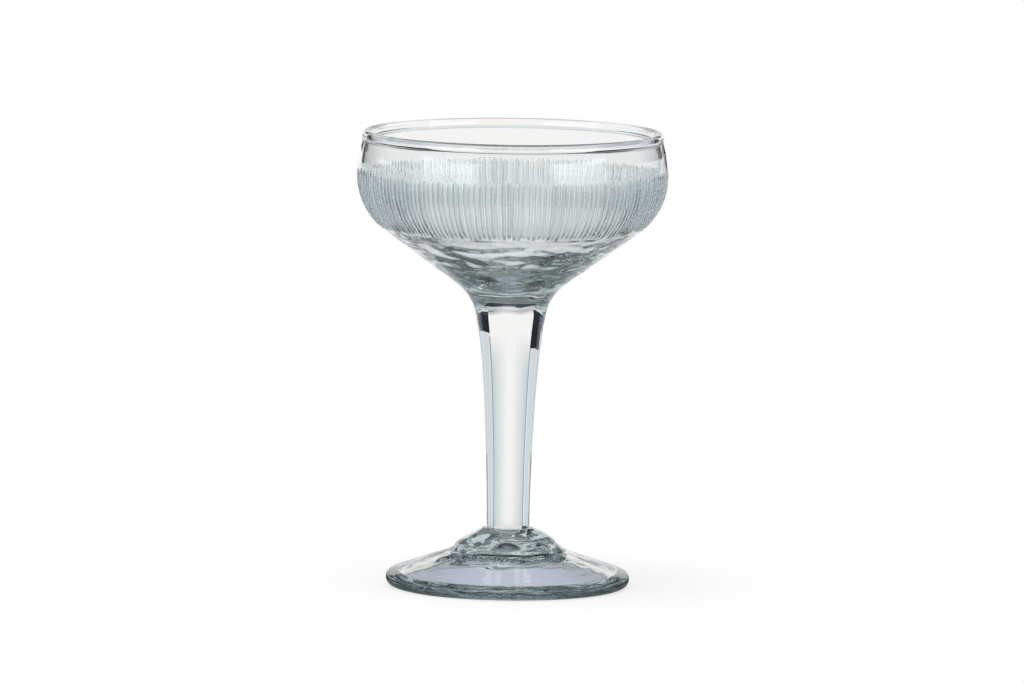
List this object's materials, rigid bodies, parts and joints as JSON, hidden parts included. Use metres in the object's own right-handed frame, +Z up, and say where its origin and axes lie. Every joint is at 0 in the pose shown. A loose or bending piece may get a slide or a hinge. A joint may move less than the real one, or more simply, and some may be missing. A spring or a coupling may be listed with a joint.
{
  "type": "champagne glass",
  "caption": "Hand-made champagne coupe with a wide shallow bowl, an etched band of fine upright strokes, a flared solid stem and a low conical foot.",
  "frame": {"origin": "centre of the circle that the foot stands on, on the table", "axes": "+Z up along the axis of the glass, from the foot to the rim; X and Y are level, and the glass looks the same all round"},
  "size_m": [0.099, 0.099, 0.1455],
  "materials": {
    "bowl_glass": "clear blown glass with a fire-polished rim and an etched, frosted band of fine upright strokes",
    "stem_glass": "clear solid glass, slightly grey-green in the thick parts, with hand-made ripples and tiny bubbles",
    "foot_glass": "clear smooth glass with a thick rounded grey-green edge"
  },
  "bodies": {
    "root": {"bowl": "bowl_glass", "bowl_collar": "stem_glass", "stem": "stem_glass", "foot_button": "stem_glass", "foot": "foot_glass"}
  },
  "joints": []
}
